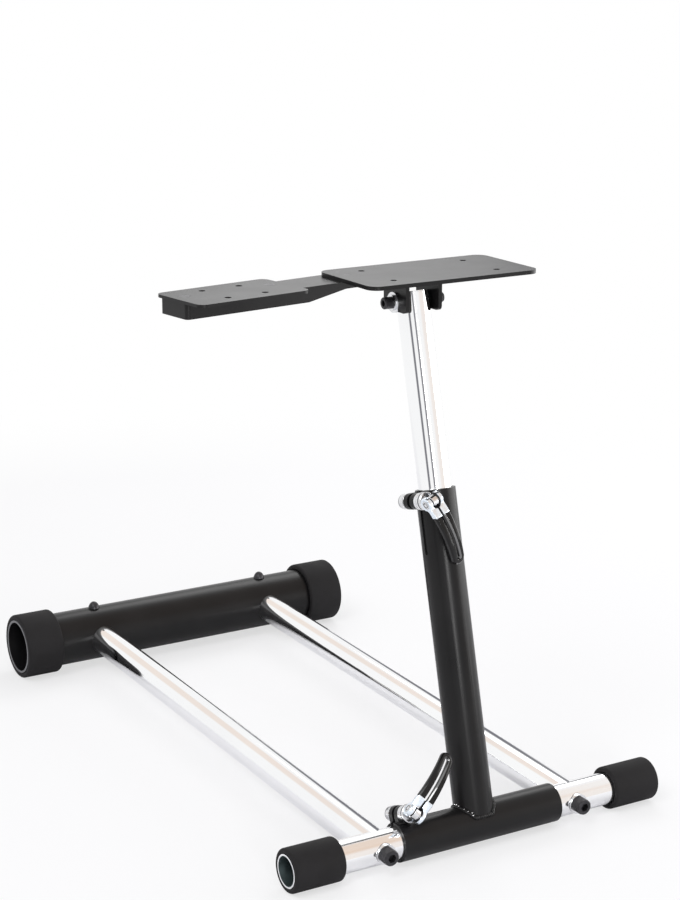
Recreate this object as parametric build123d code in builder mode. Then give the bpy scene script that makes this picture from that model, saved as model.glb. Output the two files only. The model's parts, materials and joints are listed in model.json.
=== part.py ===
"""Racing wheel stand: a tubular floor base, a folding telescopic mast, a wheel plate and a shifter arm."""
import os
from math import cos, radians, sin, sqrt

from build123d import *

# Base, in millimetres. The user sits at -Y, the far tube lies at +Y, and Z is up.
TUBE_OD = 34.0
TUBE_WALL = 2.0
NEAR_LENGTH = 440.0
BASE_SPAN = 675.0
LONG_SPACING = 234.0
LONG_INSERT = 12.0
PLUG_LENGTH = 22.0
FAR_OD = 65.0
FAR_WALL = 2.5
FAR_LENGTH = 440.0
NEAR_FOOT_OD = 45.0
NEAR_FOOT_LENGTH = 56.0
FAR_FOOT_OD = 78.0
FAR_FOOT_LENGTH = 46.0
FOOT_EDGE = 1.8
FOOT_FIT = 0.1

# Frame bolts
BOLT_D = 10.0
BOLT_HEAD_D = 16.0
BOLT_HEAD_H = 10.0
BOLT_SOCKET_AF = 8.0
BOLT_SOCKET_DEPTH = 6.0
BOLT_HEAD_EDGE = 0.8
SADDLE_D = 21.0
SADDLE_T = 2.0
FAR_BOLT_D = 8.0
FAR_BOLT_HEAD_D = 13.0
FAR_BOLT_HEAD_H = 5.0
HOLE_PLAY = 0.25
THREAD_PLAY = 0.05

# Mast
MAST_TILT = 13.7
MAST_OD = 41.0
SLEEVE_OD = 40.0
SLIDE_PLAY = 0.3
SLEEVE_LENGTH = 190.0
MAST_TOP = 342.5
UPPER_INSERT = 200.0
PIVOT_HEIGHT = 533.0
UPPER_OVER_PIVOT = 9.0

# Quick-release clamps
SLIT_WIDTH = 4.0
SLIT_LENGTH = 65.0
LUG_T = 6.5
LUG_D = 16.5
SKEWER_OFFSET = 7.0
UPPER_SKEWER_FROM_END = 9.4
LOWER_SKEWER_FROM_END = 11.0
SKEWER_D = 6.0
SKEWER_TAIL = 1.0
CLAMP_WASHER_D = 16.0
CLAMP_WASHER_T = 1.8
CLAMP_COLLAR_D = 16.8
CLAMP_COLLAR_T = 5.5
CAM_SEAT_D = 18.6
CAM_SEAT_T = 7.5
RING_EDGE = 0.6
CLAMP_NUT_AF = 13.0
CLAMP_NUT_H = 6.0
UPPER_CLAMP_TURN = 5.0
LOWER_CLAMP_LEAN = 8.0
UPPER_LEVER_ANGLE = 110.0
LOWER_LEVER_ANGLE = -46.0

# Cam lever
LEVER_WIDTH = 19.0
FORK_GAP = 10.6
FORK_SLIT = 2.4
FORK_LENGTH = 15.5
FORK_EDGE = 0.8
FORK_THROAT = 3.0
LEVER_LENGTH = 70.5
LEVER_T = 6.0
LEVER_BOW = 6.6
LEVER_TIP = -1.2
GRIP_END_WIDTH = 15.0
GRIP_SLOT = 3.4
GRIP_EDGE = 1.4
CAM_R = 7.2
CAM_OFFSET = 0.8
CAM_PLAY = 0.3
EYE_D = 12.0
EYE_SIDE_PLAY = 1.2
EYE_ROUND_PLAY = 1.4
BARREL_D = 9.0
BARREL_PLAY = 0.05
BARREL_RECESS = 0.6

# Lock nuts: the hexagon's share of the height and the collar's share of the width
NUT_HEX_SHARE = 0.68
NUT_COLLAR_SHARE = 0.9
NUT_COLLAR_EDGE = 0.8

# Wheel plate and its tilt bracket
PLATE_WIDTH = 195.0
PLATE_DEPTH = 105.0
PLATE_T = 4.0
PLATE_CORNER = 12.0
PLATE_REAR = 23.0
PIVOT_TO_PLATE = 31.0
WHEEL_HOLE_D = 6.6
WHEEL_HOLES_X = 120.0
WHEEL_HOLES_Y = 60.0
CHEEK_T = 4.0
CHEEK_WIDTH = 42.0
CHEEK_BELOW = 9.0
CHEEK_CORNER = 5.0
PIVOT_D = 10.0
PIVOT_PLAY = 0.1
PIVOT_WASHER_D = 21.0
PIVOT_WASHER_T = 2.5
PIVOT_NUT_AF = 17.0
PIVOT_NUT_H = 8.0
PIVOT_TAIL = 3.0

# Shifter arm and plate
ARM_YAW = 7.5
ARM_UNDER = 42.0
ARM_REACH = 186.0
ARM_WIDTH = 44.0
ARM_T = 3.0
ARM_DEPTH = 15.0
ARM_ROOT_DEPTH = 7.0
ARM_TAPER = 45.0
ARM_BEND = 4.0
ARM_REAR = 3.0
ARM_BOLT_D = 8.0
ARM_BOLT_HEAD_D = 13.0
ARM_BOLT_HEAD_H = 5.0
ARM_BOLT_EDGE = 2.5
ARM_BOLT_IN = 12.0
ARM_BOLT_PITCH = 18.0
TRAY_START = 62.0
TRAY_LENGTH = 126.0
TRAY_WIDTH = 76.0
TRAY_BEHIND_ARM = 6.0
TRAY_T = 3.0
TRAY_CORNER = 8.0
TRAY_SCREW_D = 6.0
TRAY_SCREW_HEAD_D = 11.6
TRAY_SCREW_IN = 14.0
TRAY_SCREW_TAIL = 2.0
TRAY_NUT_AF = 10.0
TRAY_NUT_H = 6.0
SHIFTER_PCD = 60.0
SHIFTER_HOLE_D = 6.6

# Places worked out from the sizes above. The origin is on the floor under the middle of the outer box.
NEAR_R = TUBE_OD / 2
NEAR_Z = NEAR_FOOT_OD / 2
FAR_Z = FAR_FOOT_OD / 2
NEAR_REACH = NEAR_R + SADDLE_T + BOLT_HEAD_H
NEAR_Y = NEAR_REACH - (NEAR_REACH + BASE_SPAN + FAR_FOOT_OD / 2) / 2
FAR_Y = NEAR_Y + BASE_SPAN
YAW = radians(ARM_YAW)
TRAY_ROUND_X = TRAY_START + TRAY_LENGTH - TRAY_CORNER
TRAY_ROUND_Y = TRAY_CORNER - TRAY_BEHIND_ARM
LEFT_REACH = PLATE_WIDTH / 2 + TRAY_ROUND_X * cos(YAW) - TRAY_ROUND_Y * sin(YAW) + TRAY_CORNER
RIGHT_REACH = max(NEAR_LENGTH, FAR_LENGTH) / 2
BASE_X = (LEFT_REACH - RIGHT_REACH) / 2
TILT = radians(MAST_TILT)
MAST_DIR = Vector(0, sin(TILT), cos(TILT))
MAST_FACING = Vector(0, cos(TILT), -sin(TILT))
MAST_BASE = Vector(BASE_X, NEAR_Y, NEAR_Z)
MAST = Plane(MAST_BASE, x_dir=(1, 0, 0), z_dir=MAST_DIR)
PIVOT = MAST_BASE + MAST_DIR * PIVOT_HEIGHT
PLATE_Z = PIVOT.Z + PIVOT_TO_PLATE
SLEEVE_BORE = TUBE_OD + 2 * SLIDE_PLAY
SLIT_FACE = SLIT_WIDTH / 2 + LUG_T
PIN_OUT = SLIT_FACE + CLAMP_COLLAR_T + CAM_SEAT_T + CAM_PLAY + CAM_OFFSET + CAM_R

os.makedirs("parts", exist_ok=True)


def save(builder, name):
    """Name a finished piece and write its file."""
    builder.part.label = name
    export_step(builder.part, "parts/" + name + ".step")


# Near cross tube, with the holes that its frame bolts pass through
with BuildPart() as near_cross_tube:
    with BuildSketch(Plane.YZ.offset(BASE_X - NEAR_LENGTH / 2)):
        with Locations((NEAR_Y, NEAR_Z)):
            Circle(NEAR_R)
            Circle(NEAR_R - TUBE_WALL, mode=Mode.SUBTRACT)
    extrude(amount=NEAR_LENGTH)
    for side in (-1, 1):
        with BuildSketch(Plane.XZ.offset(-NEAR_Y)):
            with Locations((BASE_X + side * LONG_SPACING / 2, NEAR_Z)):
                Circle(BOLT_D / 2 + HOLE_PLAY)
        extrude(amount=TUBE_OD, both=True, mode=Mode.SUBTRACT)
save(near_cross_tube, "near_cross_tube")

# Far cross tube, with the sockets for the long tubes and the holes for the bolts from above
LONG_DIR = Vector(0, BASE_SPAN, FAR_Z - NEAR_Z).normalized()
LONG_RUN = sqrt(BASE_SPAN**2 + (FAR_Z - NEAR_Z) ** 2)
with BuildPart() as far_cross_tube:
    with BuildSketch(Plane.YZ.offset(BASE_X - FAR_LENGTH / 2)):
        with Locations((FAR_Y, FAR_Z)):
            Circle(FAR_OD / 2)
            Circle(FAR_OD / 2 - FAR_WALL, mode=Mode.SUBTRACT)
    extrude(amount=FAR_LENGTH)
    for side in (-1, 1):
        x = BASE_X + side * LONG_SPACING / 2
        with BuildSketch(Plane((x, FAR_Y, FAR_Z), x_dir=(1, 0, 0), z_dir=-LONG_DIR)):
            Circle(NEAR_R + FOOT_FIT)
        extrude(amount=FAR_OD, mode=Mode.SUBTRACT)
        with BuildSketch(Plane((x, FAR_Y, FAR_Z))):
            Circle(FAR_BOLT_D / 2 + HOLE_PLAY)
        extrude(amount=FAR_OD, mode=Mode.SUBTRACT)
save(far_cross_tube, "far_cross_tube")


def foot(name, y, z, x_end, inward, outer, inner, length):
    """Make a rubber sleeve over a tube end, flush with it, with bevelled rims."""
    with BuildPart() as sleeve:
        with BuildSketch(Plane((x_end, y, z), x_dir=(0, 1, 0), z_dir=(inward, 0, 0))):
            Circle(outer / 2)
            Circle(inner / 2 + FOOT_FIT, mode=Mode.SUBTRACT)
        extrude(amount=length)
        rims = sleeve.edges().filter_by(GeomType.CIRCLE).group_by(SortBy.RADIUS)[-1]
        chamfer(rims, FOOT_EDGE)
    save(sleeve, name)


def long_tube(name, x):
    """Make a long tube: coped and plugged at the near end, run into the far tube at the other."""
    with BuildPart() as tube:
        with BuildSketch(Plane((x, NEAR_Y, NEAR_Z), x_dir=(1, 0, 0), z_dir=LONG_DIR)):
            Circle(NEAR_R)
        extrude(amount=LONG_RUN + LONG_INSERT)
        inner = Plane((x, NEAR_Y, NEAR_Z), x_dir=(1, 0, 0), z_dir=LONG_DIR).offset(NEAR_R + PLUG_LENGTH)
        with BuildSketch(inner):
            Circle(NEAR_R - TUBE_WALL)
        extrude(amount=LONG_RUN, mode=Mode.SUBTRACT)
        with BuildSketch(Plane.YZ.offset(x - NEAR_R)):
            with Locations((NEAR_Y, NEAR_Z)):
                Circle(NEAR_R)
        extrude(amount=TUBE_OD, mode=Mode.SUBTRACT)
        with BuildSketch(Plane((x, NEAR_Y, NEAR_Z), x_dir=(1, 0, 0), z_dir=(0, 1, 0))):
            Circle(BOLT_D / 2 + THREAD_PLAY)
        extrude(amount=NEAR_R + 2 * PLUG_LENGTH, mode=Mode.SUBTRACT)
        with BuildSketch(Plane((x, FAR_Y, FAR_Z))):
            Circle(FAR_BOLT_D / 2 + THREAD_PLAY)
        extrude(amount=FAR_OD, mode=Mode.SUBTRACT)
    save(tube, name)


def near_bolt(name, x):
    """Make a socket-head bolt that enters through the near tube's face."""
    seat = Plane((x, NEAR_Y - NEAR_R - SADDLE_T, NEAR_Z), x_dir=(1, 0, 0), z_dir=(0, -1, 0))
    with BuildPart() as bolt:
        with BuildSketch(seat):
            Circle(BOLT_HEAD_D / 2)
        extrude(amount=BOLT_HEAD_H)
        chamfer(bolt.faces().sort_by(Axis.Y)[0].edges(), BOLT_HEAD_EDGE)
        with BuildSketch(seat.offset(BOLT_HEAD_H)):
            RegularPolygon(BOLT_SOCKET_AF / 2, 6, major_radius=False)
        extrude(amount=-BOLT_SOCKET_DEPTH, mode=Mode.SUBTRACT)
        with BuildSketch(seat):
            Circle(BOLT_D / 2)
        extrude(amount=-(SADDLE_T + TUBE_OD + PLUG_LENGTH))
    save(bolt, name)


def saddle_washer(name, x):
    """Make a washer that is flat under the bolt head and curved to the tube behind."""
    with BuildPart() as washer:
        with BuildSketch(Plane((x, NEAR_Y, NEAR_Z), x_dir=(1, 0, 0), z_dir=(0, -1, 0))):
            Circle(SADDLE_D / 2)
            Circle(BOLT_D / 2 + HOLE_PLAY, mode=Mode.SUBTRACT)
        extrude(amount=NEAR_R + SADDLE_T)
        with BuildSketch(Plane.YZ.offset(x - SADDLE_D)):
            with Locations((NEAR_Y, NEAR_Z)):
                Circle(NEAR_R)
        extrude(amount=2 * SADDLE_D, mode=Mode.SUBTRACT)
    save(washer, name)


def far_bolt(name, x):
    """Make a dome-head bolt that pins a long tube in the far tube from above."""
    with BuildPart() as bolt:
        with BuildSketch(Plane.XZ.offset(-FAR_Y)):
            with BuildLine():
                top = (x, FAR_Z + FAR_OD / 2 + FAR_BOLT_HEAD_H)
                rim = (x + FAR_BOLT_HEAD_D / 2, FAR_Z + FAR_OD / 2)
                dome = TangentArc(top, rim, tangent=(1, 0))
                Polyline(
                    dome @ 1,
                    (x + FAR_BOLT_D / 2, FAR_Z + FAR_OD / 2),
                    (x + FAR_BOLT_D / 2, FAR_Z),
                    (x, FAR_Z),
                    dome @ 0,
                )
            make_face()
        revolve(axis=Axis((x, FAR_Y, FAR_Z), (0, 0, 1)))
        with BuildSketch(Plane.YZ.offset(x - FAR_BOLT_HEAD_D)):
            with Locations((FAR_Y, FAR_Z)):
                Circle(FAR_OD / 2)
                Rectangle(FAR_BOLT_D, FAR_OD, mode=Mode.SUBTRACT)
        extrude(amount=2 * FAR_BOLT_HEAD_D, mode=Mode.SUBTRACT)
    save(bolt, name)


for side, word in ((-1, "left"), (1, "right")):
    long_x = BASE_X + side * LONG_SPACING / 2
    foot("near_foot_" + word, NEAR_Y, NEAR_Z, BASE_X + side * NEAR_LENGTH / 2, -side,
         NEAR_FOOT_OD, TUBE_OD, NEAR_FOOT_LENGTH)
    foot("far_foot_" + word, FAR_Y, FAR_Z, BASE_X + side * FAR_LENGTH / 2, -side,
         FAR_FOOT_OD, FAR_OD, FAR_FOOT_LENGTH)
    long_tube("long_tube_" + word, long_x)
    near_bolt("near_bolt_" + word, long_x)
    saddle_washer("near_washer_" + word, long_x)
    far_bolt("far_bolt_" + word, long_x)

# The clamps' own planes: x points out from the tube, y runs along the tube, z runs along the skewer
# towards the lever.
UPPER_TURN = radians(UPPER_CLAMP_TURN)
UPPER_OUT = Vector(-1, 0, 0) * cos(UPPER_TURN) - MAST_FACING * sin(UPPER_TURN)
UPPER_SKEWER = Vector(1, 0, 0) * sin(UPPER_TURN) - MAST_FACING * cos(UPPER_TURN)
UPPER_AXIS_POINT = MAST_BASE + MAST_DIR * (MAST_TOP - UPPER_SKEWER_FROM_END)
UPPER_CLAMP = Plane(
    UPPER_AXIS_POINT + UPPER_OUT * (MAST_OD / 2 + SKEWER_OFFSET), x_dir=UPPER_OUT, z_dir=UPPER_SKEWER
)
LOWER_LEAN = radians(MAST_TILT + LOWER_CLAMP_LEAN)
LOWER_OUT = Vector(0, sin(LOWER_LEAN), cos(LOWER_LEAN))
LOWER_SKEWER = Vector(0, -cos(LOWER_LEAN), sin(LOWER_LEAN))
LOWER_AXIS_POINT = MAST_BASE - Vector(SLEEVE_LENGTH / 2 - LOWER_SKEWER_FROM_END, 0, 0)
LOWER_CLAMP = Plane(
    LOWER_AXIS_POINT + LOWER_OUT * (SLEEVE_OD / 2 + SKEWER_OFFSET), x_dir=LOWER_OUT, z_dir=LOWER_SKEWER
)


def slit_plane(axis_point, out, along, from_end):
    """Give the plane that a clamp's slit is drawn on, with x along the tube from its open end."""
    return Plane(axis_point - along * from_end, x_dir=along, z_dir=out)


def slit_sketch(plane, open_end):
    """Draw a slit that starts beyond the tube's end and stops in a round end."""
    with BuildSketch(plane) as slit:
        with Locations(((SLIT_LENGTH - open_end) / 2, 0)):
            SlotOverall(SLIT_LENGTH + open_end, SLIT_WIDTH)
    return slit.sketch


# Sleeve that turns on the near tube
with BuildPart() as mast_sleeve:
    with BuildSketch(Plane.YZ.offset(BASE_X - SLEEVE_LENGTH / 2)):
        with Locations((NEAR_Y, NEAR_Z)):
            Circle(SLEEVE_OD / 2)
            Circle(SLEEVE_BORE / 2, mode=Mode.SUBTRACT)
    extrude(amount=SLEEVE_LENGTH)
    LOWER_SLIT = slit_plane(LOWER_AXIS_POINT, LOWER_OUT, Vector(1, 0, 0), LOWER_SKEWER_FROM_END)
    extrude(slit_sketch(LOWER_SLIT, SLIT_WIDTH * 2), amount=SLEEVE_OD, mode=Mode.SUBTRACT)
save(mast_sleeve, "mast_sleeve")

# Mast tube, coped on the sleeve
with BuildPart() as mast_tube:
    with BuildSketch(MAST):
        Circle(MAST_OD / 2)
        Circle(SLEEVE_BORE / 2, mode=Mode.SUBTRACT)
    extrude(amount=MAST_TOP)
    with BuildSketch(Plane.YZ.offset(BASE_X - MAST_OD)):
        with Locations((NEAR_Y, NEAR_Z)):
            Circle(SLEEVE_OD / 2)
    extrude(amount=2 * MAST_OD, mode=Mode.SUBTRACT)
    UPPER_SLIT = slit_plane(UPPER_AXIS_POINT, UPPER_OUT, -MAST_DIR, UPPER_SKEWER_FROM_END)
    extrude(slit_sketch(UPPER_SLIT, SLIT_WIDTH * 2), amount=MAST_OD, mode=Mode.SUBTRACT)
save(mast_tube, "mast_tube")

# Upper tube that slides in the mast
with BuildPart() as upper_tube:
    with BuildSketch(MAST.offset(MAST_TOP - UPPER_INSERT)):
        Circle(NEAR_R)
        Circle(NEAR_R - TUBE_WALL, mode=Mode.SUBTRACT)
    extrude(amount=PIVOT_HEIGHT + UPPER_OVER_PIVOT - MAST_TOP + UPPER_INSERT)
    with BuildSketch(Plane(PIVOT, x_dir=(0, 1, 0), z_dir=(1, 0, 0))):
        Circle(PIVOT_D / 2 + PIVOT_PLAY)
    extrude(amount=TUBE_OD, both=True, mode=Mode.SUBTRACT)
save(upper_tube, "upper_tube")


def clamp_lugs(name, plane, tube_od):
    """Make the two lugs welded on a tube at either side of its slit."""
    axis_x = -(tube_od / 2 + SKEWER_OFFSET)
    with BuildPart() as lugs:
        with BuildSketch(plane):
            Circle(LUG_D / 2)
            with Locations((axis_x / 2, 0)):
                Rectangle(-axis_x, LUG_D)
            Circle(SKEWER_D / 2 + HOLE_PLAY, mode=Mode.SUBTRACT)
        extrude(amount=SLIT_FACE, both=True)
        with BuildSketch(plane):
            with Locations((axis_x / 2, 0)):
                Rectangle(2 * LUG_D - axis_x, 2 * LUG_D)
        extrude(amount=SLIT_WIDTH / 2, both=True, mode=Mode.SUBTRACT)
        with BuildSketch(Plane(plane.origin, x_dir=plane.x_dir, z_dir=plane.y_dir)):
            with Locations((axis_x, 0)):
                Circle(tube_od / 2)
        extrude(amount=2 * LUG_D, both=True, mode=Mode.SUBTRACT)
    save(lugs, name)


def clamp_skewer(name, plane, lever_angle):
    """Make a skewer whose rounded eye holds the cross barrel that the cam lever turns on."""
    lever = lever_plane(plane, lever_angle)
    across = Plane(lever.origin, x_dir=lever.x_dir, z_dir=lever.y_dir)
    eye_width = FORK_GAP - 2 * EYE_SIDE_PLAY
    tail = SLIT_FACE + CLAMP_WASHER_T + CLAMP_NUT_H + SKEWER_TAIL
    with BuildPart() as eye:
        with BuildSketch(lever):
            SlotCenterToCenter(EYE_D / 2, eye_width)
            with Locations((EYE_D / 4, 0)):
                Rectangle(EYE_D / 2, eye_width, mode=Mode.INTERSECT)
        revolve(axis=Axis(lever.origin, lever.y_dir))
    with BuildPart() as skewer:
        with BuildSketch(plane.offset(-tail)):
            Circle(SKEWER_D / 2)
        extrude(amount=tail + PIN_OUT)
        add(eye.part)
        with BuildSketch(across):
            Circle(BARREL_D / 2)
        extrude(amount=LEVER_WIDTH / 2 - BARREL_RECESS, both=True)
    save(skewer, name)


def ring(seat, diameter, thickness):
    """Add a ring on the skewer with bevelled outer edges."""
    with BuildPart(mode=Mode.PRIVATE) as band:
        with BuildSketch(seat):
            Circle(diameter / 2)
        extrude(amount=thickness)
        chamfer(band.edges().filter_by(GeomType.CIRCLE), RING_EDGE)
        with BuildSketch(seat):
            Circle(SKEWER_D / 2 + HOLE_PLAY)
        extrude(amount=thickness, mode=Mode.SUBTRACT)
    add(band.part)


def clamp_washers(name, plane):
    """Make the collar and the cam's seat on the lever's side and the washer under the nut."""
    with BuildPart() as washers:
        ring(plane.offset(SLIT_FACE), CLAMP_COLLAR_D, CLAMP_COLLAR_T)
        ring(plane.offset(SLIT_FACE + CLAMP_COLLAR_T), CAM_SEAT_D, CAM_SEAT_T)
        ring(plane.offset(-SLIT_FACE - CLAMP_WASHER_T), CLAMP_WASHER_D, CLAMP_WASHER_T)
    save(washers, name)


def lock_nut(name, seats, width, height, bore):
    """Make lock nuts on their seats: a hexagon with a bevelled round collar at its outer end."""
    with BuildPart() as nuts:
        for seat in seats:
            with BuildPart(mode=Mode.PRIVATE) as nut:
                with BuildSketch(seat):
                    Circle(width * NUT_COLLAR_SHARE / 2)
                extrude(amount=height)
                chamfer(nut.edges().filter_by(GeomType.CIRCLE), NUT_COLLAR_EDGE)
                with BuildSketch(seat):
                    RegularPolygon(width / 2, 6, major_radius=False)
                extrude(amount=height * NUT_HEX_SHARE)
                with BuildSketch(seat):
                    Circle(bore / 2 + THREAD_PLAY)
                extrude(amount=height, mode=Mode.SUBTRACT)
            add(nut.part)
    save(nuts, name)


def clamp_nut(name, plane):
    """Make the lock nut that sets the clamp's grip."""
    washer_face = plane.origin - plane.z_dir * (SLIT_FACE + CLAMP_WASHER_T)
    nut_seat = Plane(washer_face, x_dir=plane.x_dir, z_dir=-plane.z_dir)
    lock_nut(name, [nut_seat], CLAMP_NUT_AF, CLAMP_NUT_H, SKEWER_D)


def lever_plane(plane, angle):
    """Give a cam lever's own plane on its barrel: x along the lever, z away from the tube."""
    turned = plane.offset(PIN_OUT)
    along = plane.x_dir * cos(radians(angle)) + plane.y_dir * sin(radians(angle))
    return Plane(turned.origin, x_dir=along, z_dir=plane.z_dir)


def lever_bow(height):
    """Draw the lever's bowed line at a height above or below its middle."""
    return ThreePointArc(
        (0, height),
        (LEVER_LENGTH / 2, LEVER_BOW + height),
        (LEVER_LENGTH, LEVER_TIP + height),
    )


def lever_side():
    """Draw the lever's side: a bar of even thickness that bows away from the tube."""
    with BuildSketch() as side:
        with BuildLine():
            inner = lever_bow(-LEVER_T / 2)
            outer = lever_bow(LEVER_T / 2)
            Line(inner @ 0, outer @ 0)
            Line(inner @ 1, outer @ 1)
        make_face()
    return side.sketch


def cam_fork(name, plane, angle):
    """Make the chrome fork: two arms whose eccentric ends bear on the seat and straddle the skewer's eye."""
    lever = lever_plane(plane, angle)
    side_plane = Plane(lever.origin, x_dir=lever.x_dir, z_dir=-lever.y_dir)
    with BuildPart() as fork:
        with BuildSketch(side_plane) as outline:
            add(lever_side())
            with Locations((FORK_LENGTH / 2, 0)):
                Rectangle(FORK_LENGTH, LEVER_LENGTH, mode=Mode.INTERSECT)
            with Locations((0, -CAM_OFFSET)):
                Circle(CAM_R)
            throats = outline.vertices().sort_by(Axis.X)[:-2]
            fillet(throats, FORK_THROAT)
        extrude(amount=LEVER_WIDTH / 2, both=True)
        sides = fork.faces().sort_by(Axis(lever.origin, lever.y_dir))
        chamfer(sides[0].edges() + sides[-1].edges(), FORK_EDGE)
        with BuildSketch(side_plane):
            Circle(BARREL_D / 2 + BARREL_PLAY)
        extrude(amount=LEVER_WIDTH, both=True, mode=Mode.SUBTRACT)
        with BuildSketch(lever):
            with Locations((EYE_D / 2 + EYE_ROUND_PLAY - FORK_GAP / 2 - FORK_LENGTH, 0)):
                SlotCenterToCenter(2 * FORK_LENGTH, FORK_GAP)
            Rectangle(4 * FORK_LENGTH, FORK_SLIT)
        extrude(amount=LEVER_LENGTH, both=True, mode=Mode.SUBTRACT)
    save(fork, name)


def lever_grip(name, plane, angle):
    """Make the dipped grip: a long tapering loop with bevelled rails that continues the fork's two arms."""
    lever = lever_plane(plane, angle)
    side_plane = Plane(lever.origin, x_dir=lever.x_dir, z_dir=-lever.y_dir)
    round_end = LEVER_LENGTH - GRIP_END_WIDTH / 2
    with BuildPart() as grip:
        with BuildSketch(side_plane):
            add(lever_side())
        extrude(amount=LEVER_WIDTH / 2, both=True)
        with BuildSketch(lever):
            with Locations((round_end, 0)):
                Circle(GRIP_END_WIDTH / 2)
            with Locations((FORK_LENGTH + GRIP_SLOT / 2, 0)):
                Rectangle(GRIP_SLOT, LEVER_WIDTH)
            make_hull()
            with Locations((round_end / 2, 0)):
                SlotCenterToCenter(round_end, GRIP_SLOT, mode=Mode.SUBTRACT)
        extrude(amount=LEVER_LENGTH, both=True, mode=Mode.INTERSECT)
        lengthwise = Axis(lever.origin, lever.x_dir)
        cut_face = grip.faces().filter_by(lengthwise).edges()
        upright = grip.edges().filter_by(Axis(lever.origin, lever.z_dir))
        rails = [edge for edge in grip.edges() if edge not in cut_face and edge not in upright]
        chamfer(rails, GRIP_EDGE)
    save(grip, name)


CLAMPS = (
    ("lower", LOWER_CLAMP, SLEEVE_OD, LOWER_LEVER_ANGLE),
    ("upper", UPPER_CLAMP, MAST_OD, UPPER_LEVER_ANGLE),
)
for word, clamp_plane, clamp_od, lever_angle in CLAMPS:
    clamp_lugs(word + "_clamp_lugs", clamp_plane, clamp_od)
    clamp_skewer(word + "_skewer", clamp_plane, lever_angle)
    clamp_washers(word + "_clamp_washers", clamp_plane)
    clamp_nut(word + "_clamp_nut", clamp_plane)
    cam_fork(word + "_lever_fork", clamp_plane, lever_angle)
    lever_grip(word + "_lever_grip", clamp_plane, lever_angle)

# Wheel plate
PLATE_MID_Y = PIVOT.Y + PLATE_REAR - PLATE_DEPTH / 2
ARM = Plane(
    (BASE_X - PLATE_WIDTH / 2, PIVOT.Y + PLATE_REAR - ARM_REAR, PLATE_Z),
    x_dir=(-cos(YAW), -sin(YAW), 0),
    z_dir=(0, 0, 1),
)
ARM_BOLTS = [
    (-ARM_BOLT_IN, ARM_WIDTH / 2 - ARM_BOLT_PITCH / 2),
    (-ARM_BOLT_IN, ARM_WIDTH / 2 + ARM_BOLT_PITCH / 2),
]
TRAY_SCREWS = [
    (TRAY_START + TRAY_SCREW_IN, ARM_WIDTH / 2),
    (TRAY_START + TRAY_LENGTH - TRAY_SCREW_IN, ARM_WIDTH / 2),
]
TRAY_MID = (TRAY_START + TRAY_LENGTH / 2, TRAY_WIDTH / 2 - TRAY_BEHIND_ARM)
with BuildPart() as wheel_plate:
    with BuildSketch(Plane((BASE_X, PLATE_MID_Y, PLATE_Z))):
        RectangleRounded(PLATE_WIDTH, PLATE_DEPTH, PLATE_CORNER)
        with GridLocations(WHEEL_HOLES_X, WHEEL_HOLES_Y, 2, 2):
            Circle(WHEEL_HOLE_D / 2, mode=Mode.SUBTRACT)
    extrude(amount=PLATE_T)
    with BuildSketch(ARM):
        with Locations(*ARM_BOLTS):
            Circle(ARM_BOLT_D / 2 + THREAD_PLAY)
    extrude(amount=PLATE_T, mode=Mode.SUBTRACT)
save(wheel_plate, "wheel_plate")

# Tilt bracket: an inverted channel under the plate whose cheeks straddle the upper tube
CHEEK_GAP = TUBE_OD + 2 * SLIDE_PLAY
with BuildPart() as tilt_bracket:
    with BuildSketch(Plane((BASE_X, PIVOT.Y, PIVOT.Z), x_dir=(0, 1, 0), z_dir=(1, 0, 0))):
        with Locations((0, (PIVOT_TO_PLATE - CHEEK_BELOW) / 2)):
            Rectangle(CHEEK_WIDTH, PIVOT_TO_PLATE + CHEEK_BELOW)
    extrude(amount=CHEEK_GAP / 2 + CHEEK_T, both=True)
    with BuildSketch(Plane((BASE_X, PIVOT.Y, PIVOT.Z), x_dir=(1, 0, 0), z_dir=(0, -1, 0))):
        with Locations((0, -CHEEK_T)):
            Rectangle(CHEEK_GAP, 2 * PIVOT_TO_PLATE)
    extrude(amount=CHEEK_WIDTH, both=True, mode=Mode.SUBTRACT)
    low_corners = tilt_bracket.edges().filter_by(Axis.X).group_by(Axis.Z)[0]
    fillet(low_corners, CHEEK_CORNER)
    with BuildSketch(Plane((BASE_X, PIVOT.Y, PIVOT.Z), x_dir=(0, 1, 0), z_dir=(1, 0, 0))):
        Circle(PIVOT_D / 2 + PIVOT_PLAY)
    extrude(amount=CHEEK_GAP, both=True, mode=Mode.SUBTRACT)
save(tilt_bracket, "tilt_bracket")

# Pivot bolt through the bracket, its washers and its nut
CHEEK_FACE = CHEEK_GAP / 2 + CHEEK_T
PIVOT_HEAD_X = BASE_X - CHEEK_FACE - 2 * PIVOT_WASHER_T
PIVOT_HEAD = Plane((PIVOT_HEAD_X, PIVOT.Y, PIVOT.Z), x_dir=(0, 1, 0), z_dir=(-1, 0, 0))
PIVOT_END = Plane((BASE_X + CHEEK_FACE, PIVOT.Y, PIVOT.Z), x_dir=(0, 1, 0), z_dir=(1, 0, 0))
with BuildPart() as pivot_bolt:
    with BuildSketch(PIVOT_HEAD):
        Circle(BOLT_HEAD_D / 2)
    extrude(amount=BOLT_HEAD_H)
    chamfer(pivot_bolt.faces().sort_by(Axis.X)[0].edges(), BOLT_HEAD_EDGE)
    with BuildSketch(PIVOT_HEAD.offset(BOLT_HEAD_H)):
        RegularPolygon(BOLT_SOCKET_AF / 2, 6, major_radius=False)
    extrude(amount=-BOLT_SOCKET_DEPTH, mode=Mode.SUBTRACT)
    with BuildSketch(PIVOT_HEAD):
        Circle(PIVOT_D / 2)
    extrude(amount=-(2 * PIVOT_WASHER_T + 2 * CHEEK_FACE + PIVOT_WASHER_T + PIVOT_NUT_H + PIVOT_TAIL))
save(pivot_bolt, "pivot_bolt")

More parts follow.
